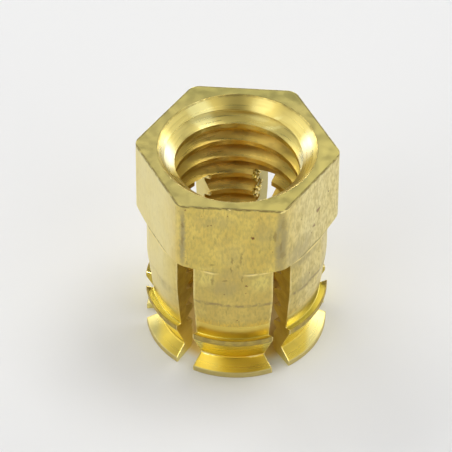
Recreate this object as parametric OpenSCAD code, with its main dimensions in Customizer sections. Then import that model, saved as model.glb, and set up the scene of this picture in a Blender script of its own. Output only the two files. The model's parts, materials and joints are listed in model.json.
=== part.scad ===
// Threaded insert, turned in one piece from hexagonal brass bar.
// A hexagon head carries the thread mouth. The sleeve under it is sawn into six fingers,
// and each finger ends in two barbs that grip the wall of the hole it is pushed into.
// The origin is on the axis at the finger ends, with +Z up through the mouth. Millimetres.

/* [Overall] */
// Height from the finger ends to the top face
overall_h = 15.45; // [14.5:0.05:20]

/* [Head] */
// Width of the hexagon across its flats
head_af = 12; // [11.8:0.1:13]
// Height of the head, from the top face to where its underside meets the sleeve
head_h = 5.8; // [4.5:0.1:6.5]
// Radius that rounds the six corners of the hexagon
head_corner_r = 0.9; // [0.4:0.1:2]
// Slope of the underside of the head, measured up from level
head_under_angle = 32; // [25:1:50]

/* [Bore] */
// Radius of the bore, which is the minor radius of its M10 x 1.5 thread
bore_r = 4.19; // [3.8:0.01:4.4]
// Radius of the cone mouth at the top face
mouth_r = 5.32; // [4.9:0.01:5.5]
// Half angle of the cone mouth
mouth_angle = 45; // [30:1:55]
// Chamfer at the lower end of the bore
bore_chamfer = 0.25; // [0.1:0.05:0.4]

/* [Sleeve] */
// Radius of the straight part of the sleeve, a little more than half the hexagon
sleeve_r = 6.1; // [6.05:0.01:6.3]
// Radius of the sleeve at the foot of its taper
sleeve_foot_r = 5.83; // [5.75:0.01:6]
// Height of the line where the taper begins
taper_top_z = 6.85; // [5.5:0.05:8]
// Height of the foot of the taper, where the groove over the upper barb begins
taper_foot_z = 4.5; // [4:0.05:4.9]

/* [Barbs] */
// Radius at the bottom of the groove over the upper barb
groove_r = 5.65; // [5.4:0.01:5.74]
// Height of the bottom of the groove
groove_z = 3.2; // [3:0.05:3.4]
// Radius of the upper barb
upper_barb_r = 6.18; // [6:0.01:6.5]
// Height of the upper barb, at the top of its lip
upper_barb_z = 3.45; // [3.3:0.05:3.8]
// Width of the land round the upper barb
upper_barb_land = 0.35; // [0.15:0.05:0.5]
// Radius of the waist between the barbs
waist_r = 5.1; // [4.9:0.01:5.3]
// Height of the waist
waist_z = 0.95; // [0.85:0.05:1.3]
// Radius of the round at the bottom of the waist
waist_round_r = 0.25; // [0.1:0.05:0.4]
// Radius of the lower barb
lower_barb_r = 6.15; // [6:0.01:6.5]
// Width of the land round the lower barb
lower_barb_land = 0.4; // [0.2:0.05:0.6]

/* [Slots] */
// Width of the saw cuts
slot_w = 1.3; // [1:0.05:1.6]
// Height of the slots above the finger ends
slot_h = 9.5; // [7:0.1:11]
// How far the saw cuts cross off the axis along X, which they do as the sleeve was held off centre
slot_offset_x = -0.37; // [-0.5:0.01:0.5]
// How far they cross off the axis along Y
slot_offset_y = 0.17; // [-0.5:0.01:0.5]
// How far the first cut is turned past its hexagon corner
cut_1_turn = 7.1; // [0:0.1:12]
// How far the second cut is turned past its hexagon corner
cut_2_turn = 3.5; // [0:0.1:12]
// How far the third cut is turned past its hexagon corner
cut_3_turn = 5.4; // [0:0.1:12]

/* [Hidden] */

// Smoothness of round forms, and of the small round at the waist
$fn = 96;
round_steps = 6;
// Overrun that carries a cut clear of the faces it opens
over = 1;

corners = 6;
corner_step = 360 / corners;
cut_turns = [cut_1_turn, cut_2_turn, cut_3_turn];
head_tip_r = head_af / 2 / cos(corner_step / 2);
head_z = overall_h - head_h;
mouth_depth = (mouth_r - bore_r) / tan(mouth_angle);

// Points of an arc of radius r about centre c, from angle a0 to a1
function arc_points(c, r, a0, a1) =
    [for (i = [0:round_steps])
        let (a = a0 + (a1 - a0) * i / round_steps)
        c + r * [cos(a), sin(a)]];

// Hexagon with rounded corners: flats carried on straight sides, corners on true arcs
module rounded_hexagon(af, corner_r) {
    centre_r = (af / 2 - corner_r) / cos(corner_step / 2);
    flat_points = [
        for (i = [0:corners - 1])
            for (side = [-1, 1])
                let (a = i * corner_step, n = a + side * corner_step / 2)
                centre_r * [cos(a), sin(a)] + corner_r * [cos(n), sin(n)]
    ];
    polygon(flat_points);
    for (i = [0:corners - 1])
        rotate(i * corner_step) translate([centre_r, 0]) circle(corner_r);
}

// Outline that the bar is turned to, from the axis out: barbs, sleeve and underside of the head
module turned_outline() {
    lower_slope = atan2(waist_z - lower_barb_land, lower_barb_r - waist_r);
    upper_rise = upper_barb_z - upper_barb_land - waist_z;
    upper_slope = atan2(upper_rise, upper_barb_r - waist_r);
    // The round touches both sides of the V, and its centre lies on their bisector
    half_v = (upper_slope + lower_slope) / 2;
    bisector = (upper_slope - lower_slope) / 2;
    waist_centre = [waist_r, waist_z]
        + waist_round_r / sin(half_v) * [cos(bisector), sin(bisector)];
    waist_round = arc_points(
        waist_centre, waist_round_r, 270 - lower_slope, 90 + upper_slope
    );
    polygon(concat(
        [[0, 0], [lower_barb_r, 0], [lower_barb_r, lower_barb_land]],
        waist_round,
        [
            [upper_barb_r, upper_barb_z - upper_barb_land],
            [upper_barb_r, upper_barb_z],
            [groove_r, groove_z],
            [sleeve_foot_r, taper_foot_z],
            [sleeve_r, taper_top_z],
            [sleeve_r, head_z],
            [head_tip_r, head_z + (head_tip_r - sleeve_r) * tan(head_under_angle)],
            [head_tip_r, overall_h],
            [0, overall_h]
        ]
    ));
}

// Hexagonal bar. The fingers are spread, so below the taper the barbs stand out past its flats
module bar() {
    linear_extrude(overall_h) rounded_hexagon(head_af, head_corner_r);
    cylinder(h = taper_foot_z, r = head_tip_r);
}

// Bar turned to its outline, with the flats running on down the sleeve as far as they reach
module turned_bar() {
    intersection() {
        rotate_extrude() turned_outline();
        bar();
    }
}

// Through bore with its cone mouth and lower chamfer
module bore() {
    rotate_extrude() polygon([
        [0, -over],
        [bore_r + bore_chamfer + over, -over],
        [bore_r, bore_chamfer],
        [bore_r, overall_h - mouth_depth],
        [mouth_r + over * tan(mouth_angle), overall_h + over],
        [0, overall_h + over]
    ]);
}

// Saw cuts right across the sleeve, each of which parts two pairs of fingers
module slots() {
    reach = 2 * (head_tip_r + norm([slot_offset_x, slot_offset_y]));
    translate([slot_offset_x, slot_offset_y, 0])
        for (i = [0:len(cut_turns) - 1])
            rotate(i * corner_step + cut_turns[i])
                translate([-reach / 2, -slot_w / 2, -over])
                    cube([reach, slot_w, slot_h + over]);
}

module insert() {
    color([0.78, 0.68, 0.34])
        difference() {
            turned_bar();
            bore();
            slots();
        }
}

insert();
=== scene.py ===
import json
import math

import bmesh
import bpy
from mathutils import Matrix, Vector, noise


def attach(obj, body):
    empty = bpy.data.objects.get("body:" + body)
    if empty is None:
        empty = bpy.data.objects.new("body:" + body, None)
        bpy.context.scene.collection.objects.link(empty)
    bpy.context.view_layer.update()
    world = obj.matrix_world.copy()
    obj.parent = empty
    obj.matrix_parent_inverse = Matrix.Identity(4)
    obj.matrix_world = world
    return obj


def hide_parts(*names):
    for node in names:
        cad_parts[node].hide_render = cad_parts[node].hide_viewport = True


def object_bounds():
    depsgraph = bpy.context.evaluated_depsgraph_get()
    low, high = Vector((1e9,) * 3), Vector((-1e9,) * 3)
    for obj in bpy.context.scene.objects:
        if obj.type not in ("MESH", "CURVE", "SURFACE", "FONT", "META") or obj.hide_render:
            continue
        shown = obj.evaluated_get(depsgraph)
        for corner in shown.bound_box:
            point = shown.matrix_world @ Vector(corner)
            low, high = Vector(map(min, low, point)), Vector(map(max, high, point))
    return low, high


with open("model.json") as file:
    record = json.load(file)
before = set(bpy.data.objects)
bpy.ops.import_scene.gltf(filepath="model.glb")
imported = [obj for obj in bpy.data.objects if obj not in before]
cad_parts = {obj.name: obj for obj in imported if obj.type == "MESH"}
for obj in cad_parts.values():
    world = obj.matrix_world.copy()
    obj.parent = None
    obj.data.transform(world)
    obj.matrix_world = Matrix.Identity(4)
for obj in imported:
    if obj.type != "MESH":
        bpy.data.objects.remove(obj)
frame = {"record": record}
cadLow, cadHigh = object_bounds()
mounts = {mount["name"]: mount for mount in frame["record"]["mounts"]}
metresPerMm = 0.001
print("frame loaded")

# Everything is modelled in millimetres and brought to metres at the end
height = cadHigh.z / metresPerMm
boreR = mounts["thread"]["dims"]["r_mm"]
barbR = mounts["barbs"]["dims"]["r_mm"]
mergeGap = 0.002  # points nearer than this are joined
turnSteps = 240
sharpAngle = math.radians(28)
over = 1.0  # how far the cutting tools stand past what they cut

bar = {
    "acrossFlats": 12.0,
    "cornerRadius": 0.9,
    "cornerSegments": 8,
    "topEdge": 0.06,  # the small break along the top edges
    "topEdgeSegments": 2,
    "headHeight": 5.8,
    "undersideSlope": math.radians(32),
}

sleeve = {
    "radius": 6.1,
    "footRadius": 5.83,
    "taperTop": 6.85,
    "taperFoot": 4.5,
    "grooveRadius": 5.65,
    "grooveHeight": 3.2,
    "lipHeight": 3.45,
    "upperLand": 0.35,
    "waistRadius": 5.1,
    "waistHeight": 0.95,
    "lowerBarbRadius": 6.15,
    "lowerLand": 0.4,
    "landRound": 0.03,
    "waistRound": 0.16,
    "grooveRound": 0.12,
    "footRound": 0.05,
    "taperRound": 0.4,
    "headRound": 0.06,
}

mouth = {
    "radius": 5.32,
    "halfAngle": math.radians(45),
    "edge": 0.015,
    "lowerChamfer": 0.25,
}

thread = {
    "pitch": 1.5,
    "rootRadius": 5.0,
    "rootFlat": 0.19,
    "rootRound": 0.05,
    "coreRadius": 4.0,  # inside the bore, so that only the grooves cut
    "flankAngle": math.radians(30),
    "crestHeight": 13.66,  # height of a crest's middle at crestAngle
    "crestAngle": math.radians(93.7),
    "steps": 180,
    "leadStart": 1.6,  # the tap's tapered end
    "leadFull": 3.3,
    "leadSpare": 0.1,  # how far its full part stands clear of the roots
}

slots = {
    "width": 1.3,
    "height": 9.5,
    "crossing": (-0.37, 0.17),
    "angles": [math.radians(a) for a in (7.1, 63.5, 125.4)],
}

headZ = height - bar["headHeight"]
tipR = bar["acrossFlats"] / 2 / math.cos(math.pi / 6)


# Finishes. Places and lengths in them are in millimetres. A fade is (start, end, low, high), a pattern
# is (cycles for each millimetre, detail, shift, start, end, low, high), and spots are (blur, marks)

ragged = {"cycles": 4.0, "reach": 0.3}


class Finish:
    def __init__(self, name):
        self.material = bpy.data.materials.new(name)
        self.material.use_nodes = True
        self.tree = self.material.node_tree
        self.shader = self.tree.nodes["Principled BSDF"]
        self.shader.inputs["Metallic"].default_value = 1
        coords = self.add("ShaderNodeTexCoord").outputs["Object"]
        self.place = self.vector("SCALE", coords, scale=1 / metresPerMm)
        self.x, self.y, self.z = self.add("ShaderNodeSeparateXYZ", self.place).outputs
        squares = self.math("ADD", self.times(self.x, self.x), self.times(self.y, self.y))
        self.radius = self.math("POWER", squares, 0.5)
        self.angle = self.math("ARCTAN2", self.y, self.x)

    def add(self, kind, *sources, **settings):
        node = self.tree.nodes.new(kind)
        for key, value in settings.items():
            setattr(node, key, value)
        for socket, source in zip(node.inputs, sources):
            self.feed(socket, source)
        return node

    def feed(self, socket, source):
        if isinstance(source, bpy.types.NodeSocket):
            self.tree.links.new(source, socket)
        elif source is not None:
            socket.default_value = source

    def math(self, operation, a, b=0.0):
        return self.add("ShaderNodeMath", a, b, operation=operation).outputs[0]

    def times(self, product, *others):
        for other in others:
            product = self.math("MULTIPLY", product, other)
        return product

    def vector(self, operation, a, b=None, scale=None):
        node = self.add("ShaderNodeVectorMath", a, b, operation=operation)
        if scale is not None:
            self.feed(node.inputs["Scale"], scale)
        return node.outputs[0]

    def ramp(self, value, start, end, low=0.0, high=1.0):
        return self.add("ShaderNodeMapRange", value, start, end, low, high,
                        interpolation_type="SMOOTHSTEP").outputs[0]

    def noise(self, cycles, detail, shift, place=None):
        stretched = self.vector("MULTIPLY", place or self.place, cycles)
        moved = self.vector("ADD", stretched, (shift, shift * 0.7, -shift))
        node = self.add("ShaderNodeTexNoise")
        self.feed(node.inputs["Vector"], moved)
        self.feed(node.inputs["Scale"], 1.0)
        self.feed(node.inputs["Detail"], detail)
        return node.outputs["Fac"]

    def pattern(self, cycles, detail, shift, *fade, place=None):
        return self.ramp(self.noise(cycles, detail, shift, place), *fade)

    def band(self, value, middle, reach, full):
        # 1 where value is near middle, falling to 0 at reach from it
        return self.ramp(self.math("ABSOLUTE", self.math("SUBTRACT", value, middle)), reach, full)

    def away(self, offset):
        # length of a vector
        return self.add("ShaderNodeVectorMath", offset, operation="LENGTH").outputs[1]

    def aside(self, offset, direction):
        # how far a vector reaches along a direction, either way
        reach = self.add("ShaderNodeVectorMath", offset, direction, operation="DOT_PRODUCT").outputs[1]
        return self.math("ABSOLUTE", reach)

    def spots(self, blur, marks, onTop=False):
        # Ellipses with ragged rims. A mark is (x, z, width, height, strength) on the front, or has y
        # for z on what is seen from above
        wobble = self.add("ShaderNodeTexNoise")
        self.feed(wobble.inputs["Vector"], self.place)
        self.feed(wobble.inputs["Scale"], ragged["cycles"])
        centred = self.vector("SUBTRACT", wobble.outputs["Color"], (0.5, 0.5, 0.5))
        wander = self.vector("MULTIPLY", centred, (ragged["reach"],) * 3)
        place = self.vector("ADD", self.place, wander)
        found = 0.0
        for x, other, width, tall, strength in marks:
            centre = (x, other, 0) if onTop else (x, 0, other)
            stretch = (2 / width, 2 / tall, 0) if onTop else (2 / width, 0, 2 / tall)
            offset = self.vector("MULTIPLY", self.vector("SUBTRACT", place, centre), stretch)
            spot = self.ramp(self.away(offset), 1 + blur, 1 - blur, 0, strength)
            found = self.math("MAXIMUM", found, spot)
        if onTop:
            return found
        return self.times(found, self.math("LESS_THAN", self.y, 0.0))

    def flatDistance(self):
        # from the axis square to the nearest flat of the hexagon
        found = 0.0
        for turn in (30, 90, 150):
            square = (math.cos(math.radians(turn)), math.sin(math.radians(turn)), 0)
            found = self.math("MAXIMUM", found, self.aside(self.place, square))
        return found

    def slotEdge(self, reach):
        # 1 at the rims of the saw cuts, falling to 0 within reach of them
        nearest = 2 * tipR
        offset = self.vector("SUBTRACT", self.place, (*slots["crossing"], 0))
        for angle in slots["angles"]:
            across = (-math.sin(angle), math.cos(angle), 0)
            nearest = self.math("MINIMUM", nearest, self.aside(offset, across))
        beside = self.math("MAXIMUM", self.math("SUBTRACT", nearest, slots["width"] / 2), 0.0)
        above = self.math("MAXIMUM", self.math("SUBTRACT", self.z, slots["height"]), 0.0)
        gap = self.away(self.add("ShaderNodeCombineXYZ", beside, above, 0.0).outputs[0])
        return self.ramp(gap, reach, 0.0)

    def turned(self):
        # runs along the lathe's marks: radius, height and a little of the angle
        return self.add("ShaderNodeCombineXYZ", self.radius, self.angle, self.z).outputs[0]

    def mix(self, factor, a, b):
        node = self.add("ShaderNodeMix", data_type="RGBA")
        self.feed(node.inputs["Factor"], factor)
        for socket, colour in ((node.inputs[6], a), (node.inputs[7], b)):
            self.feed(socket, (*colour, 1) if isinstance(colour, tuple) else colour)
        return node.outputs[2]

    def bump(self, height, depth, under=None):
        node = self.add("ShaderNodeBump")
        self.feed(node.inputs["Distance"], depth * metresPerMm)
        self.feed(node.inputs["Height"], height)
        self.feed(node.inputs["Normal"], under)
        return node.outputs[0]

    def finish(self, colour, roughness, normal):
        self.feed(self.shader.inputs["Base Color"], colour)
        self.feed(self.shader.inputs["Roughness"], roughness)
        self.feed(self.shader.inputs["Normal"], normal)
        return self.material


skin = {
    "clean": (0.83, 0.655, 0.175),
    "dull": (0.74, 0.58, 0.15),
    "dullPatches": ((0.35, 0.35, 0.28), 3, 0.0, 0.38, 0.62),
    "warm": (0.74, 0.53, 0.13),
    "warmPatches": ((0.7, 0.7, 0.5), 3, 82.0, 0.46, 0.66, 0.0, 0.4),
    "fingers": (0.60, 0.46, 0.15),
    "fingersBelow": (9.8, 9.2, 0.0, 0.4),
    "fingersFrom": (-4.4, -2.6),
    # the side flats paler: partly a dull film, partly painted sheen of light at a grazing angle
    "filmAndPaintedSheen": (0.88, 0.77, 0.37),
    "filmAndPaintedSheenSides": (2.9, 5.0),
    "filmAndPaintedSheenLostOnFingers": 0.5,
    "gold": (0.90, 0.64, 0.11),  # at the foot of the taper
    "goldBelow": (5.2, 4.5, 0.0, 0.8),
    "goldAside": (2.4, 4.6, 1.0, 0.35),
    # painted highlights: lighter patches on the front below the head
    "paintedLightTone": (0.88, 0.76, 0.24),
    "paintedLightPatches": (0.7, [
        (-1.75, 8.85, 1.25, 1.3, 0.7), (2.05, 8.7, 1.3, 1.5, 0.7), (-1.6, 10.0, 1.2, 0.3, 0.4),
        (-1.9, 5.6, 0.5, 0.5, 0.3),
    ]),
    "quietSide": (-4.2, -2.9, 0.2, 1.0),  # the left side is smooth and clean
    "mottle": (0.58, 0.45, 0.14),
    "mottled": ((2.4, 2.4, 1.7), 4, 3.1, 0.40, 0.70, 0.0, 0.46),
    "grain": (0.50, 0.40, 0.13),
    "grained": ((6.5, 6.5, 2.4), 4, 13.0, 0.42, 0.66, 0.0, 0.46),
    "smear": (0.46, 0.38, 0.17),
    "smeared": ((2.2, 2.2, 0.8), 3, 4.4, 0.3, 0.6, 0.5, 1.0),
    "smears": (0.6, [
        (3.3, 12.4, 0.75, 5.4, 1.0), (-3.2, 12.6, 0.34, 5.0, 1.0), (-0.4, 8.2, 1.9, 1.5, 0.5),
        (0.2, 9.6, 2.4, 1.0, 0.35), (4.84, 7.0, 1.3, 1.3, 0.6), (-4.5, 6.3, 0.9, 0.9, 0.4),
        (4.4, 10.6, 1.4, 2.0, 0.7), (4.7, 9.4, 1.6, 1.0, 0.7), (0.1, 11.0, 1.6, 2.2, 0.3),
        (-1.0, 14.2, 2.6, 0.9, 0.3), (2.2, 13.4, 1.2, 2.0, 0.35),
    ]),
    "grime": (0.32, 0.23, 0.08),
    "grimeStrength": 0.75,
    "streaked": ((5.0, 5.0, 1.1), 2, 7.7, 0.62, 0.76),
    "streakAreas": ((0.3, 0.3, 0.3), 1, 11.0, 0.42, 0.6, 0.0, 0.6),
    "streaks": (0.5, [
        (0.09, 10.8, 0.12, 0.6, 0.8), (0.03, 9.97, 0.12, 0.5, 0.8), (0.68, 10.94, 0.14, 1.0, 0.7),
        (0.74, 11.5, 0.14, 0.25, 0.8), (0.49, 10.3, 0.14, 0.4, 0.6), (-1.23, 10.34, 0.4, 0.16, 0.7),
        (-2.89, 10.4, 0.12, 0.4, 0.6), (-3.21, 13.75, 0.18, 0.4, 0.8), (-3.2, 12.4, 0.16, 0.9, 0.7),
        (2.9, 13.2, 0.2, 0.9, 0.8), (2.6, 13.1, 0.14, 0.7, 0.5), (2.55, 12.2, 0.12, 0.6, 0.4),
        (3.3, 12.2, 0.16, 0.8, 0.6), (3.4, 11.4, 0.3, 0.7, 0.5), (3.45, 14.2, 0.3, 0.8, 0.5),
        (-0.3, 13.1, 0.12, 0.5, 0.4), (-0.85, 13.0, 0.14, 0.5, 0.4), (-1.23, 8.84, 0.18, 0.6, 0.7),
        (-0.36, 8.93, 0.4, 0.16, 0.8), (0.77, 9.16, 0.14, 0.6, 0.7), (1.9, 11.8, 0.14, 0.4, 0.4),
    ]),
    "pit": (0.28, 0.13, 0.05),
    "pitted": ((3.4, 3.4, 3.0), 1, 23.0, 0.74, 0.8, 0.0, 0.8),
    "dents": (0.4, [
        (1.46, 12.99, 0.22, 0.26, 1.0), (5.53, 12.46, 0.16, 0.3, 0.8), (5.31, 11.44, 0.14, 0.3, 0.8),
    ]),
    "scratch": (0.33, 0.24, 0.12),  # a ring scratched round the fingers
    "ringHeight": 6.62,
    "ringWidth": (0.21, 0.02),
    "ringWander": ((0.8, 0.8, 0.8), 5, 17.0, 0.2, 0.8, -0.16, 0.16),
    "ringBroken": ((2.6, 2.6, 2.6), 4, 31.0, 0.38, 0.62, 0.1, 0.7),
    "ringBehind": (1.0, -1.0, 0.35, 1.0),
    # painted shade: a broken dark line along the top edges of the flats
    "edge": (0.26, 0.20, 0.07),
    "paintedShadeEdgeWidth": (0.16, 0.05),
    "paintedShadeEdgeBroken": ((2.6, 2.6, 0.5), 3, 41.0, 0.32, 0.56, 0.25, 0.9),
    # painted highlights: bright specks along the top edge
    "glints": (0.3, [
        (-0.1, 15.38, 0.22, 0.12, 1.0), (3.45, 15.32, 0.5, 0.16, 1.0), (1.6, 15.4, 0.3, 0.08, 0.6),
    ]),
    "seamShadeAndHighlight": (0.40, 0.32, 0.11),  # painted shade: a dark line under the head, with a painted highlight line below it
    "seamAside": (0.6, 1.5),
    "seamReach": 6.3,
    "paintedShadeLine": (headZ + 0.02, 0.11, 0.03),
    "paintedShadeBroken": ((2.2, 2.2, 2.2), 2, 67.0, 0.3, 0.6, 0.2, 0.8),
    "paintedHighlightLine": (headZ - 0.13, 0.15, 0.02),
    "paintedHighlightBroken": ((1.6, 1.6, 1.6), 2, 61.0, 0.3, 0.6),
    # the colour of real burrs, lightened as a painted highlight; also the colour of the painted glints
    # and highlight line
    "burrAndHighlight": (0.97, 0.82, 0.34),
    "burrReach": 0.2,
    "burrBroken": ((2.2, 2.2, 1.6), 2, 51.0, 0.34, 0.6, 0.2, 0.9),
    "burrHeight": 0.06,
    "roughness": ((0.9, 0.9, 0.6), 3, 5.0, 0.3, 0.7, 0.36, 0.5),
    "burrPolish": 0.12,
    "drawing": ((9.0, 9.0, 0.7), 2, 1.3),
    "drawingDepth": 0.004,
    "markDepth": 0.012,
    "grainDepth": 0.008,
}


def drawnSkin():
    f = Finish("drawnSkin")
    s = skin
    aside = f.math("ABSOLUTE", f.x)
    quiet = f.ramp(f.x, *s["quietSide"])
    colour = f.mix(f.pattern(*s["dullPatches"]), s["dull"], s["clean"])
    colour = f.mix(f.pattern(*s["warmPatches"]), colour, s["warm"])
    fingers = f.times(f.ramp(f.z, *s["fingersBelow"]), f.ramp(f.x, *s["fingersFrom"]))
    colour = f.mix(fingers, colour, s["fingers"])
    # paler side flats: partly a dull film, partly painted sheen
    sides = f.math("SUBTRACT", f.ramp(aside, *s["filmAndPaintedSheenSides"]), f.times(fingers, s["filmAndPaintedSheenLostOnFingers"]))
    colour = f.mix(sides, colour, s["filmAndPaintedSheen"])
    gold = f.times(f.ramp(f.z, *s["goldBelow"]), f.ramp(aside, *s["goldAside"]))
    colour = f.mix(gold, colour, s["gold"])
    # painted highlight patches on the front
    colour = f.mix(f.spots(*s["paintedLightPatches"]), colour, s["paintedLightTone"])

    colour = f.mix(f.times(f.pattern(*s["mottled"]), quiet), colour, s["mottle"])
    grain = f.pattern(*s["grained"])
    colour = f.mix(f.times(grain, quiet), colour, s["grain"])
    smears = f.times(f.spots(*s["smears"]), f.pattern(*s["smeared"]))
    colour = f.mix(smears, colour, s["smear"])

    streaks = f.times(f.pattern(*s["streaked"]), f.pattern(*s["streakAreas"]), quiet)
    streaks = f.math("MAXIMUM", streaks, f.spots(*s["streaks"]))
    colour = f.mix(f.times(streaks, s["grimeStrength"]), colour, s["grime"])
    pits = f.math("MAXIMUM", f.times(f.pattern(*s["pitted"]), quiet), f.spots(*s["dents"]))
    colour = f.mix(pits, colour, s["pit"])
    level = f.math("ADD", f.z, f.pattern(*s["ringWander"]))
    ring = f.times(f.band(level, s["ringHeight"], *s["ringWidth"]), f.pattern(*s["ringBroken"]),
                   quiet, f.ramp(f.y, *s["ringBehind"]))
    colour = f.mix(ring, colour, s["scratch"])

    # painted shade along the top edges
    outer, inner = s["paintedShadeEdgeWidth"]
    edge = f.times(f.ramp(f.z, height - outer, height - inner), f.pattern(*s["paintedShadeEdgeBroken"]))
    colour = f.mix(edge, colour, s["edge"])
    # painted highlight specks on the top edge
    colour = f.mix(f.spots(*s["glints"]), colour, s["burrAndHighlight"])
    # painted shade and painted highlight lines under the head, on the front
    seamShadeAndHighlight = f.times(f.math("LESS_THAN", f.radius, s["seamReach"]), f.ramp(aside, *s["seamAside"]))
    paintedSeamHighlight = f.times(f.band(f.z, *s["paintedHighlightLine"]), seamShadeAndHighlight, f.pattern(*s["paintedHighlightBroken"]))
    colour = f.mix(paintedSeamHighlight, colour, s["burrAndHighlight"])
    paintedSeamShade = f.times(f.band(f.z, *s["paintedShadeLine"]), seamShadeAndHighlight, f.pattern(*s["paintedShadeBroken"]))
    colour = f.mix(paintedSeamShade, colour, s["seamShadeAndHighlight"])
    # burrs at the saw cuts, also painted bright as a highlight
    burrAndHighlight = f.times(f.slotEdge(s["burrReach"]), f.pattern(*s["burrBroken"]))
    colour = f.mix(burrAndHighlight, colour, s["burrAndHighlight"])

    roughness = f.math("SUBTRACT", f.pattern(*s["roughness"]), f.times(burrAndHighlight, s["burrPolish"]))
    marks = f.math("MAXIMUM", pits, f.math("MAXIMUM", streaks, ring))
    relief = f.bump(f.noise(*s["drawing"]), s["drawingDepth"])
    relief = f.bump(f.math("SUBTRACT", 1.0, marks), s["markDepth"], relief)
    relief = f.bump(grain, s["grainDepth"], relief)
    return f.finish(colour, roughness, f.bump(burrAndHighlight, s["burrHeight"], relief))


faced = {
    "tones": ((0.72, 0.61, 0.195), (0.75, 0.635, 0.21)),
    "patches": ((0.6, 0.6, 0.6), 3, 2.0, 0.35, 0.65),
    "speck": (0.50, 0.42, 0.13),
    "specks": ((3.0, 3.0, 3.0), 3, 9.0, 0.55, 0.75),
    "speckStrength": 0.3,
    # painted shade: the top face darker towards the back
    "back": (0.60, 0.54, 0.155),
    "paintedShadeBackFrom": (3.6, 5.6, 0.0, 0.6),
    # painted light: lighter towards the front right and the right
    "paintedLightFrontRight": (0.76, 0.645, 0.185),
    "paintedLightFrontRightFrom": (4.0, 7.5, 0.0, 0.8),
    "right": (0.84, 0.72, 0.225),
    "paintedLightRightFrom": (4.2, 5.6),
    "broken": ((2.2, 2.2, 2.2), 3, 19.0, 0.30, 0.56, 0.3, 0.9),
    # painted shade along the outer edges of the top face
    "paintedShadeOutlineFrom": (5.84, 5.95),
    # painted shade: a dark line round the mouth's rim
    "rim": (0.42, 0.32, 0.09),
    "paintedShadeRimWidth": (0.1, 0.02),
    "paintedShadeRimStrength": (0.0, 0.55),
    "roughness": ((1.1, 1.1, 1.1), 2, 4.0, 0.3, 0.7, 0.4, 0.52),
    "rings": ((9.0, 0.6, 9.0), 2, 0.4),
    "ringDepth": 0.003,
    "grain": ((5.0, 5.0, 5.0), 3, 6.0),
    "grainDepth": 0.006,
}


def facedTop():
    f = Finish("facedTop")
    t = faced
    colour = f.mix(f.pattern(*t["patches"]), *t["tones"])
    colour = f.mix(f.times(f.pattern(*t["specks"]), t["speckStrength"]), colour, t["speck"])
    # painted shade towards the back, painted light towards the front right and the right
    colour = f.mix(f.ramp(f.y, *t["paintedShadeBackFrom"]), colour, t["back"])
    paintedLightFrontRight = f.ramp(f.math("SUBTRACT", f.x, f.y), *t["paintedLightFrontRightFrom"])
    colour = f.mix(paintedLightFrontRight, colour, t["paintedLightFrontRight"])
    colour = f.mix(f.ramp(f.x, *t["paintedLightRightFrom"]), colour, t["right"])
    broken = f.pattern(*t["broken"])
    # painted shade along the outer edges, in the top edge's dark colour
    paintedShadeOutline = f.times(f.ramp(f.flatDistance(), *t["paintedShadeOutlineFrom"]), broken)
    colour = f.mix(paintedShadeOutline, colour, skin["edge"])
    # painted shade round the mouth
    outer, inner = t["paintedShadeRimWidth"]
    rim = f.ramp(f.radius, mouth["radius"] + outer, mouth["radius"] + inner, *t["paintedShadeRimStrength"])
    colour = f.mix(f.times(rim, broken), colour, t["rim"])
    rings = f.bump(f.noise(*t["rings"], f.turned()), t["ringDepth"])
    grain = f.bump(f.noise(*t["grain"]), t["grainDepth"], rings)
    return f.finish(colour, f.pattern(*t["roughness"]), grain)


barbs = {
    "tones": ((0.88, 0.66, 0.10), (0.83, 0.62, 0.10)),
    "patches": ((0.8, 0.8, 0.8), 3, 8.0, 0.35, 0.65),
    # painted shade: deeper in the middle
    "middle": (0.89, 0.58, 0.04),
    "paintedShadeMiddleWithin": (3.4, 1.2, 0.0, 0.9),
    # painted highlight: paler towards the right end
    "right": (0.90, 0.77, 0.28),
    "paintedLightRightFrom": (4.8, 5.3),
    # painted shade: darker towards the left end
    "left": (0.63, 0.54, 0.19),
    "leftFrom": (-4.6, -5.4),
    "overWaist": (0.82, 0.70, 0.13),
    "overWaistFrom": (0.95, 1.1),
    "grooveTones": ((0.85, 0.66, 0.15), (0.76, 0.66, 0.23)),
    "grooveAside": (2.6, 4.4),
    "grooveFrom": (3.1, 3.4),
    "stain": (0.62, 0.46, 0.10),
    "stained": ((1.6, 1.6, 1.1), 3, 27.0, 0.52, 0.74, 0.0, 0.2),
    # painted shade: a deeper patch right of the front
    "paintedShadeDeep": (0.83, 0.50, 0.05),
    "paintedShadeDeepSpots": (0.8, [(1.0, 0.7, 2.4, 0.9, 0.5)]),
    "lit": (0.97, 0.74, 0.13),
    "litSpots": (0.8, [(-1.3, 0.7, 1.3, 0.9, 0.55)]),
    "landFrom": (6.06, 6.13),
    "upperFrom": 2.0,
    "lowerLand": (0.66, 0.55, 0.22),
    "upperLands": ((0.56, 0.43, 0.11), (0.42, 0.32, 0.10)),
    "landWorn": ((1.8, 1.8, 1.8), 3, 92.0, 0.35, 0.65),
    # painted highlights along the waist
    "glint": (1.0, 0.90, 0.40),
    "glints": (0.4, [(-1.6, 1.0, 1.7, 0.12, 1.0), (1.7, 1.0, 1.2, 0.1, 0.6)]),
    "burrReach": 0.1,
    "burrHeight": 0.03,
    "rings": ((4.0, 0.4, 4.0), 2, 1.7),
    "ringDepth": 0.0001,
    "roughness": (0.3, 0.7, 0.27, 0.29),
    "landRoughness": 0.2,  # on top of the rest
}


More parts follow.
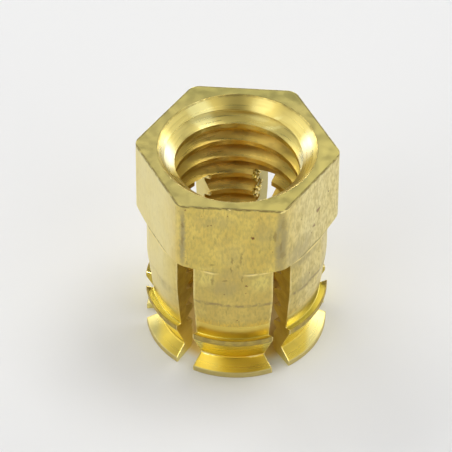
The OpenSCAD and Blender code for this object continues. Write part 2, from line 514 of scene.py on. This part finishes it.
def cutBarb():
    f = Finish("cutBarb")
    b = barbs
    aside = f.math("ABSOLUTE", f.x)
    rings = f.noise(*b["rings"], f.turned())
    colour = f.mix(f.pattern(*b["patches"]), *b["tones"])
    # painted shade in the middle
    colour = f.mix(f.ramp(aside, *b["paintedShadeMiddleWithin"]), colour, b["middle"])
    # painted highlight at the right end
    colour = f.mix(f.ramp(f.x, *b["paintedLightRightFrom"]), colour, b["right"])
    # painted shade towards the left end
    colour = f.mix(f.ramp(f.x, *b["leftFrom"]), colour, b["left"])
    colour = f.mix(f.ramp(f.z, *b["overWaistFrom"]), colour, b["overWaist"])
    groove = f.mix(f.ramp(aside, *b["grooveAside"]), *b["grooveTones"])
    colour = f.mix(f.ramp(f.z, *b["grooveFrom"]), colour, groove)
    colour = f.mix(f.pattern(*b["stained"]), colour, b["stain"])
    # painted shade patch
    colour = f.mix(f.spots(*b["paintedShadeDeepSpots"]), colour, b["paintedShadeDeep"])
    colour = f.mix(f.spots(*b["litSpots"]), colour, b["lit"])
    upper = f.math("GREATER_THAN", f.z, b["upperFrom"])
    upperLand = f.mix(f.pattern(*b["landWorn"]), *b["upperLands"])
    land = f.ramp(f.radius, *b["landFrom"])
    colour = f.mix(land, colour, f.mix(upper, b["lowerLand"], upperLand))
    # painted highlights on the waist
    colour = f.mix(f.spots(*b["glints"]), colour, b["glint"])
    # burrs at the saw cuts, also painted bright as a highlight
    burrAndHighlight = f.slotEdge(b["burrReach"])
    colour = f.mix(burrAndHighlight, colour, skin["burrAndHighlight"])
    roughness = f.math("ADD", f.ramp(rings, *b["roughness"]), f.times(land, b["landRoughness"]))
    return f.finish(colour, roughness, f.bump(burrAndHighlight, b["burrHeight"], f.bump(rings, b["ringDepth"])))


bore = {
    "mouthTones": ((0.82, 0.68, 0.22), (0.75, 0.62, 0.19)),
    "patches": ((0.8, 0.8, 0.8), 3, 8.0, 0.35, 0.65),
    "chatter": (0.60, 0.47, 0.12),
    "chatterMarks": ((5.0, 1.2, 5.0), 3, 44.0, 0.50, 0.66, 0.0, 0.5),
    # painted shade: the mouth darker towards the back
    "back": (0.78, 0.61, 0.16),
    "paintedShadeBackFrom": (3.4, 4.8),
    # painted highlights on the mouth's cone
    "paintedLightTone": (0.98, 0.88, 0.36),
    "paintedLightPatches": (0.35, [
        (-2.8, 4.0, 1.9, 1.3, 0.9), (1.35, 4.75, 1.6, 0.8, 0.35), (-2.2, 3.35, 1.4, 0.25, 0.8),
        (2.0, 3.9, 1.5, 0.25, 0.5),
    ]),
    # painted highlights: pale blobs on the mouth's left and right
    "glint": (0.94, 0.88, 0.56),
    "glints": (0.5, [(-4.6, -0.35, 1.0, 2.8, 1.0), (4.5, 1.0, 1.0, 2.2, 0.8)]),
    # painted shade: a dark line round the mouth's top
    "rim": (0.42, 0.32, 0.09),
    "paintedShadeRimBroken": ((2.2, 2.2, 2.2), 3, 71.0, 0.3, 0.6, 0.1, 0.7),
    "paintedShadeRimWidth": (0.14, 0.04),
    "deepTones": ((0.84, 0.60, 0.14), (0.78, 0.54, 0.11)),
    # painted shade: the thread darker to the left and right
    "paintedShadeSide": (0.63, 0.46, 0.09),
    "paintedShadeAside": (2.0, 3.6),
    "stain": (0.56, 0.38, 0.09),
    "stained": ((1.6, 1.6, 2.6), 4, 36.0, 0.48, 0.68, 0.0, 0.6),
    "mouthFrom": (12.6, 13.8),
    "rings": ((7.0, 0.5, 7.0), 3, 1.7),
    "ringDepth": 0.0018,
    "roughness": (0.3, 0.7, 0.26, 0.36),
}


def cutThread():
    f = Finish("cutThread")
    b = bore
    rings = f.noise(*b["rings"], f.turned())
    patches = f.pattern(*b["patches"])
    mouthTone = f.mix(patches, *b["mouthTones"])
    mouthTone = f.mix(f.pattern(*b["chatterMarks"], place=f.turned()), mouthTone, b["chatter"])
    # painted shade at the back of the mouth
    mouthTone = f.mix(f.ramp(f.y, *b["paintedShadeBackFrom"]), mouthTone, b["back"])
    # painted highlights on the mouth's cone
    mouthTone = f.mix(f.spots(*b["paintedLightPatches"], onTop=True), mouthTone, b["paintedLightTone"])
    # painted highlights on the mouth's left and right
    mouthTone = f.mix(f.spots(*b["glints"], onTop=True), mouthTone, b["glint"])
    # painted shade round the top of the mouth
    outer, inner = b["paintedShadeRimWidth"]
    rim = f.times(f.pattern(*b["paintedShadeRimBroken"]), f.ramp(f.z, height - outer, height - inner))
    mouthTone = f.mix(rim, mouthTone, b["rim"])
    deepTone = f.mix(patches, *b["deepTones"])
    # painted shade to the left and right
    deepTone = f.mix(f.ramp(f.math("ABSOLUTE", f.x), *b["paintedShadeAside"]), deepTone, b["paintedShadeSide"])
    deepTone = f.mix(f.pattern(*b["stained"]), deepTone, b["stain"])
    colour = f.mix(f.ramp(f.z, *b["mouthFrom"]), deepTone, mouthTone)
    return f.finish(colour, f.ramp(rings, *b["roughness"]), f.bump(rings, b["ringDepth"]))


sawn = {
    "tones": ((0.87, 0.73, 0.165), (0.74, 0.59, 0.12)),
    "patches": ((1.5, 1.5, 1.5), 3, 8.0, 0.35, 0.65),
    # painted light: the slot walls paler towards the foot
    "foot": (0.97, 0.88, 0.36),
    "paintedLightFootBelow": (3.6, 1.6, 0.0, 0.8),
    # painted light: the rear cuts' walls paler where light falls on them
    "paintedLightRearTones": ((0.80, 0.68, 0.27), (0.56, 0.48, 0.19)),
    "paintedLightRearAcross": (-1.0, 1.0),
    "paintedLightRearFrom": (1.0, 3.0),
    "strokes": ((1.2, 1.2, 9.0), 3, 2.2),
    "strokeDepth": 0.008,
    "roughness": (0.3, 0.7, 0.34, 0.48),
}


def sawnSlot():
    f = Finish("sawnSlot")
    s = sawn
    strokes = f.noise(*s["strokes"])
    colour = f.mix(f.pattern(*s["patches"]), *s["tones"])
    # painted light towards the foot
    colour = f.mix(f.ramp(f.z, *s["paintedLightFootBelow"]), colour, s["foot"])
    # painted light on the rear cuts' walls
    paintedLightRear = f.mix(f.ramp(f.x, *s["paintedLightRearAcross"]), *s["paintedLightRearTones"])
    colour = f.mix(f.ramp(f.y, *s["paintedLightRearFrom"]), colour, paintedLightRear)
    return f.finish(colour, f.ramp(strokes, *s["roughness"]), f.bump(strokes, s["strokeDepth"]))


materials = {
    "drawnSkin": drawnSkin(),
    "facedTop": facedTop(),
    "cutBarb": cutBarb(),
    "cutThread": cutThread(),
    "sawnSlot": sawnSlot(),
}
zoneNames = list(materials)
print("finishes made")


def setZone(faces, zone):
    for face in faces:
        face.material_index = zoneNames.index(zone)


def pieceFrom(bm, name):
    mesh = bpy.data.meshes.new(name)
    bm.to_mesh(mesh)
    bm.free()
    for zone in zoneNames:
        mesh.materials.append(materials[zone])
    piece = bpy.data.objects.new(name, mesh)
    bpy.context.scene.collection.objects.link(piece)
    return piece


def outlineOf(corners, segments=3):
    # corners are (radius, height, rounding), joined in order by straight edges
    bm = bmesh.new()
    verts = [bm.verts.new((r, 0, z)) for r, z, rounding in corners]
    for a, b in zip(verts, verts[1:]):
        bm.edges.new((a, b))
    for vert, (r, z, rounding) in zip(verts, corners):
        if rounding:
            bmesh.ops.bevel(bm, geom=[vert], offset=rounding, offset_type="OFFSET", segments=segments,
                            profile=0.5, affect="VERTICES", material=-1)
    return bm


def spunFrom(corners):
    bm = outlineOf(corners)
    bmesh.ops.spin(bm, geom=bm.verts[:] + bm.edges[:], cent=(0, 0, 0), axis=(0, 0, 1),
                   angle=2 * math.pi, steps=turnSteps, use_merge=True)
    bmesh.ops.remove_doubles(bm, verts=bm.verts, dist=mergeGap)
    bmesh.ops.recalc_face_normals(bm, faces=bm.faces)
    return bm


def combine(piece, tool, operation):
    # Joins, cuts or keeps what piece and tool share, and uses the tool up
    modifier = piece.modifiers.new(operation, "BOOLEAN")
    modifier.operation = operation
    modifier.object = tool
    modifier.solver = "MANIFOLD"
    modifier.material_mode = "TRANSFER"
    result = piece.evaluated_get(bpy.context.evaluated_depsgraph_get())
    mesh = bpy.data.meshes.new_from_object(result)
    piece.modifiers.clear()
    piece.data = mesh
    bpy.data.objects.remove(tool)
    return piece


# The bar: a hexagon with rounded corners, and a round stretch where the spread barbs stand past it

def makeBar():
    bm = bmesh.new()
    bmesh.ops.create_circle(bm, cap_ends=True, segments=6, radius=tipR)
    # brings a corner onto X
    bmesh.ops.rotate(bm, verts=bm.verts, cent=(0, 0, 0), matrix=Matrix.Rotation(math.pi / 6, 3, "Z"))
    cornerOffset = bar["cornerRadius"] * math.tan(math.pi / 6)
    bmesh.ops.bevel(bm, geom=bm.verts[:], offset=cornerOffset, offset_type="OFFSET",
                    segments=bar["cornerSegments"], profile=0.5, affect="VERTICES", material=-1)
    made = bmesh.ops.extrude_face_region(bm, geom=bm.faces[:])
    topVerts = [v for v in made["geom"] if isinstance(v, bmesh.types.BMVert)]
    bmesh.ops.translate(bm, verts=topVerts, vec=(0, 0, height))
    bmesh.ops.recalc_face_normals(bm, faces=bm.faces)
    topEdges = [e for e in bm.edges if all(v.co.z > height - mergeGap for v in e.verts)]
    bmesh.ops.bevel(bm, geom=topEdges, offset=bar["topEdge"], offset_type="OFFSET",
                    segments=bar["topEdgeSegments"], profile=0.5, affect="EDGES", material=-1)
    setZone(bm.faces, "drawnSkin")
    setZone([f for f in bm.faces if f.normal.z > 0.5], "facedTop")
    hexagon = pieceFrom(bm, "bar")

    foot = spunFrom([(0, -over, 0), (tipR + over, -over, 0), (tipR + over, sleeve["taperFoot"], 0),
                     (0, sleeve["taperFoot"], 0)])
    return combine(hexagon, pieceFrom(foot, "foot"), "UNION")


def makeTurned():
    s = sleeve
    tipZ = headZ + (tipR - s["radius"]) * math.tan(bar["undersideSlope"])
    bm = spunFrom([
        (0, 0, 0),
        (s["lowerBarbRadius"], 0, s["landRound"]),
        (s["lowerBarbRadius"], s["lowerLand"], s["landRound"]),
        (s["waistRadius"], s["waistHeight"], s["waistRound"]),
        (barbR, s["lipHeight"] - s["upperLand"], s["landRound"]),
        (barbR, s["lipHeight"], s["landRound"]),
        (s["grooveRadius"], s["grooveHeight"], s["grooveRound"]),
        (s["footRadius"], s["taperFoot"], s["footRound"]),
        (s["radius"], s["taperTop"], s["taperRound"]),
        (s["radius"], headZ, s["headRound"]),
        (tipR, tipZ, 0),
        (tipR + over, tipZ, 0),
        (tipR + over, height + over, 0),
        (0, height + over, 0),
    ])
    setZone(bm.faces, "drawnSkin")
    setZone([f for f in bm.faces if f.calc_center_median().z < s["taperFoot"]], "cutBarb")
    return pieceFrom(bm, "brassInsert")


def makeBoreTool():
    m = mouth
    depth = (m["radius"] - boreR) / math.tan(m["halfAngle"])
    bm = spunFrom([
        (0, -over, 0),
        (boreR + m["lowerChamfer"] + over, -over, 0),
        (boreR, m["lowerChamfer"], 0),
        (boreR, height - depth, 0),
        (m["radius"], height, m["edge"]),
        (m["radius"] + over, height, 0),
        (m["radius"] + over, height + over, 0),
        (0, height + over, 0),
    ])
    setZone(bm.faces, "cutThread")
    return pieceFrom(bm, "boreTool")


def makeTap():
    t = thread
    halfCore = t["rootFlat"] / 2 + (t["rootRadius"] - t["coreRadius"]) * math.tan(t["flankAngle"])
    # At angle 0 a crest's middle stands here, and the roots half a pitch above and below it
    crest = t["crestHeight"] - t["pitch"] * t["crestAngle"] / (2 * math.pi)
    firstRoot = crest - t["pitch"] * (math.floor(crest / t["pitch"]) + 1.5)
    turns = math.ceil((height + over - firstRoot) / t["pitch"]) + 1
    corners = []
    for turn in range(turns):
        root = firstRoot + turn * t["pitch"]
        corners += [
            (t["coreRadius"], root - halfCore, 0),
            (t["rootRadius"], root - t["rootFlat"] / 2, t["rootRound"]),
            (t["rootRadius"], root + t["rootFlat"] / 2, t["rootRound"]),
            (t["coreRadius"], root + halfCore, 0),
        ]
    bm = outlineOf(corners, segments=2)
    bmesh.ops.spin(bm, geom=bm.verts[:] + bm.edges[:], cent=(0, 0, 0), axis=(0, 0, 1),
                   dvec=(0, 0, t["pitch"] / t["steps"]), angle=2 * math.pi, steps=t["steps"])
    bmesh.ops.remove_doubles(bm, verts=bm.verts, dist=mergeGap)
    for level, side in ((t["leadStart"] - over, -1), (height + over / 2, 1)):
        cut = bmesh.ops.bisect_plane(bm, geom=bm.verts[:] + bm.edges[:] + bm.faces[:], dist=1e-5,
                                     plane_co=(0, 0, level), plane_no=(0, 0, side), clear_outer=True)
        rim = [e for e in cut["geom_cut"] if isinstance(e, bmesh.types.BMEdge)]
        bmesh.ops.contextual_create(bm, geom=rim)
    bmesh.ops.recalc_face_normals(bm, faces=bm.faces)
    setZone(bm.faces, "cutThread")
    tap = pieceFrom(bm, "tap")

    lead = spunFrom([
        (0, t["leadStart"] - over / 2, 0),
        (t["coreRadius"], t["leadStart"] - over / 2, 0),
        (boreR, t["leadStart"], 0),
        (t["rootRadius"] + t["leadSpare"], t["leadFull"], 0),
        (t["rootRadius"] + t["leadSpare"], height + over / 4, 0),
        (0, height + over / 4, 0),
    ])
    setZone(lead.faces, "cutThread")
    return combine(tap, pieceFrom(lead, "lead"), "INTERSECT")


def makeSaw(angle):
    bm = bmesh.new()
    reach = 2 * (tipR + over)
    size = Matrix.Diagonal((reach, slots["width"], slots["height"] + over, 1))
    place = Matrix.Translation((*slots["crossing"], (slots["height"] - over) / 2))
    bmesh.ops.create_cube(bm, size=1, matrix=place @ Matrix.Rotation(angle, 4, "Z") @ size)
    setZone(bm.faces, "sawnSlot")
    return pieceFrom(bm, "saw")


# Crumbs of brass left hanging where the saw broke through the thread's crests. Each place is (which
# cut, which wall of it, distance along the wall, height, radius)
crumbs = {
    "subdivisions": 3,
    "lumps": 1.9,
    "lumpHeight": 0.9,
    "lumpShift": 1.7,
    "flatness": 0.6,
    "places": [
        (1, 1, 4.22, 9.25, 0.28), (1, 1, 4.62, 9.05, 0.25), (1, 1, 5.00, 9.35, 0.17),
        (1, 1, 4.45, 8.65, 0.19), (1, 1, 4.28, 7.75, 0.29), (1, 1, 4.70, 7.55, 0.25),
        (1, 1, 5.05, 7.95, 0.15), (1, 1, 4.45, 7.20, 0.20), (2, -1, 3.92, 9.24, 0.15),
        (2, -1, 3.92, 7.74, 0.16), (1, -1, -4.50, 6.95, 0.13), (2, 1, -4.60, 8.55, 0.13),
        (0, -1, 4.65, 8.35, 0.14), (0, 1, -4.05, 7.98, 0.15),
    ],
}


def makeCrumb(cut, wall, along, z, radius):
    turn = Matrix.Rotation(slots["angles"][cut], 3, "Z")
    onWall = Vector((along, wall * slots["width"] / 2, 0))
    onWall.rotate(turn)
    middle = Vector((*slots["crossing"], z)) + onWall
    bm = bmesh.new()
    bmesh.ops.create_icosphere(bm, subdivisions=crumbs["subdivisions"], radius=radius)
    for vert in bm.verts:
        lump = noise.noise(vert.co * crumbs["lumps"] / radius + middle * crumbs["lumpShift"])
        vert.co *= 1 + crumbs["lumpHeight"] * lump
        vert.co.y *= crumbs["flatness"]
    bmesh.ops.rotate(bm, verts=bm.verts, cent=(0, 0, 0), matrix=turn)
    bmesh.ops.translate(bm, verts=bm.verts, vec=middle)
    bmesh.ops.recalc_face_normals(bm, faces=bm.faces)
    setZone(bm.faces, "cutBarb")
    return pieceFrom(bm, "crumb")


def dropLooseBits(bm):
    # Whatever the cuts left hanging free goes, and the largest bit stays
    unseen = set(bm.faces)
    bits = []
    while unseen:
        bit = [unseen.pop()]
        for face in bit:
            for neighbour in {other for edge in face.edges for other in edge.link_faces}:
                if neighbour in unseen:
                    unseen.discard(neighbour)
                    bit.append(neighbour)
        bits.append(bit)
    bits.sort(key=len)
    for bit in bits[:-1]:
        bmesh.ops.delete(bm, geom=bit, context="FACES")
    return len(bits) - 1


def makeInsert():
    insert = combine(makeTurned(), makeBar(), "INTERSECT")
    print("turned bar made")
    combine(insert, makeBoreTool(), "DIFFERENCE")
    combine(insert, makeTap(), "DIFFERENCE")
    print("thread cut")
    for angle in slots["angles"]:
        combine(insert, makeSaw(angle), "DIFFERENCE")
    print("slots sawn")
    for place in crumbs["places"]:
        combine(insert, makeCrumb(*place), "UNION")
    print("crumbs left on the cuts")
    bm = bmesh.new()
    bm.from_mesh(insert.data)
    bmesh.ops.remove_doubles(bm, verts=bm.verts, dist=mergeGap)
    bmesh.ops.dissolve_degenerate(bm, edges=bm.edges, dist=mergeGap)
    looseBits = dropLooseBits(bm)
    # Points that stand on an edge between just two faces would fold slivers over it
    bmesh.ops.dissolve_verts(bm, verts=[v for v in bm.verts if len(v.link_edges) == 2])
    bmesh.ops.recalc_face_normals(bm, faces=bm.faces)
    openEdges = [e for e in bm.edges if not e.is_manifold]
    print("faces", len(bm.faces), "loose bits dropped", looseBits, "open edges", len(openEdges),
          "cubic mm", round(bm.calc_volume(), 1))
    bm.to_mesh(insert.data)
    bm.free()
    insert.data.transform(Matrix.Scale(metresPerMm, 4))
    insert.data.shade_smooth()
    insert.data.set_sharp_from_angle(angle=sharpAngle)
    weighted = insert.modifiers.new("weighted", "WEIGHTED_NORMAL")
    weighted.mode = "FACE_AREA"
    weighted.keep_sharp = True
    return insert


insert = makeInsert()
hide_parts("insert")
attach(insert, "root")
print("insert in place")


# Floor, light and camera

view = {
    "target": Vector((0, 0, 8.25)),
    "turn": math.radians(3.684),
    "rise": math.radians(43.332),
    "roll": math.radians(0.535),
    "distance": 280.9,
    "lens": 331.96,
    "sensor": 36,
    "shift": (-0.02394, 0.00179),
    "clipStart": 0.01,
}

# Painted reflected light: under the insert the floor is painted in the brass's colour, as the light
# thrown off the brass would give it, with a painted warm tint round it
floorLook = {
    "reach": 1.5,  # metres to each side
    "clear": (0.845, 0.845, 0.845),
    "paintedWarmth": (0.87, 0.865, 0.83),
    "paintedWarmthWithin": (8.5, 5.6),
    "paintedBounce": (0.86, 0.63, 0.20),
    "paintedBounceWithin": (5.3, 4.3),
    "paintedBounceMiddle": (0.8, 3.4, 0.35, 1.0),
    "roughness": 0.9,
    "specular": 0.1,
}


def makeFloor():
    look = floorLook
    bm = bmesh.new()
    bmesh.ops.create_grid(bm, x_segments=1, y_segments=1, size=look["reach"])
    mesh = bpy.data.meshes.new("floor")
    bm.to_mesh(mesh)
    bm.free()
    floor = bpy.data.objects.new("floor", mesh)
    bpy.context.scene.collection.objects.link(floor)
    f = Finish("floorWithPaintedBounce")
    # painted warm light near the insert
    colour = f.mix(f.ramp(f.radius, *look["paintedWarmthWithin"]), look["clear"], look["paintedWarmth"])
    # painted reflected brass light under the insert
    paintedBounce = f.times(f.ramp(f.radius, *look["paintedBounceWithin"]), f.ramp(f.radius, *look["paintedBounceMiddle"]))
    colour = f.mix(paintedBounce, colour, look["paintedBounce"])
    f.shader.inputs["Metallic"].default_value = 0
    f.shader.inputs["Specular IOR Level"].default_value = look["specular"]
    mesh.materials.append(f.finish(colour, look["roughness"], None))


# Rings of soft boxes round the insert. Each ring is (degrees up, width, height, watts of each box by its
# degrees to the right of straight behind the insert, as the camera sees it)
studio = {
    "aim": Vector((0, 0, 8)),
    "distance": 600.0,
    "worldStrength": 0.02,
    "rings": [
        (5.25, 470, 100, {0: 2.32, 90: 0.50}),
        (16, 454, 126, {45: 0.56, 180: 0.22, 225: 0.19, 270: 0.25, 315: 0.62}),
        (30, 409, 169, {45: 0.23, 90: 0.22, 135: 0.33, 225: 0.32, 270: 0.30}),
        (47.5, 322, 201, {90: 0.10, 135: 0.24, 225: 0.35, 270: 0.06, 315: 0.74}),
        (67.5, 257, 222, {0: 0.065, 60: 1.0, 180: 0.076, 240: 0.172}),
    ],
}


def makeBox(away, width, tall, watts):
    lamp = bpy.data.lights.new("softBox", "AREA")
    lamp.shape = "RECTANGLE"
    lamp.size = width * metresPerMm
    lamp.size_y = tall * metresPerMm
    lamp.energy = watts
    box = bpy.data.objects.new("softBox", lamp)
    box.location = (studio["aim"] + away * studio["distance"]) * metresPerMm
    box.rotation_euler = away.to_track_quat("Z", "Y").to_euler()
    box.visible_camera = False
    bpy.context.scene.collection.objects.link(box)


def makeLights():
    world = bpy.data.worlds.new("studio")
    bpy.context.scene.world = world
    world.use_nodes = True
    background = world.node_tree.nodes["Background"]
    background.inputs["Color"].default_value = (1, 1, 1, 1)
    background.inputs["Strength"].default_value = studio["worldStrength"]
    ahead = Vector((-math.sin(view["turn"]), math.cos(view["turn"]), 0))
    right = Vector((ahead.y, -ahead.x, 0))
    for rise, width, tall, boxes in studio["rings"]:
        rise = math.radians(rise)
        for turn, watts in boxes.items():
            turn = math.radians(turn)
            level = ahead * math.cos(turn) + right * math.sin(turn)
            makeBox(level * math.cos(rise) + Vector((0, 0, math.sin(rise))), width, tall, watts)


def makeCamera():
    data = bpy.data.cameras.new("camera")
    data.sensor_width = view["sensor"]
    data.lens = view["lens"]
    data.shift_x, data.shift_y = view["shift"]
    data.clip_start = view["clipStart"]
    camera = bpy.data.objects.new("camera", data)
    bpy.context.scene.collection.objects.link(camera)
    turn, rise = view["turn"], view["rise"]
    back = Vector((math.sin(turn) * math.cos(rise), -math.cos(turn) * math.cos(rise), math.sin(rise)))
    camera.location = (view["target"] + back * view["distance"]) * metresPerMm
    roll = Matrix.Rotation(view["roll"], 4, "Z").to_quaternion()
    camera.rotation_euler = ((-back).to_track_quat("-Z", "Y") @ roll).to_euler()
    bpy.context.scene.camera = camera


makeFloor()
makeLights()
makeCamera()
bpy.context.scene.view_settings.view_transform = "Standard"
print("floor, lights and camera set")
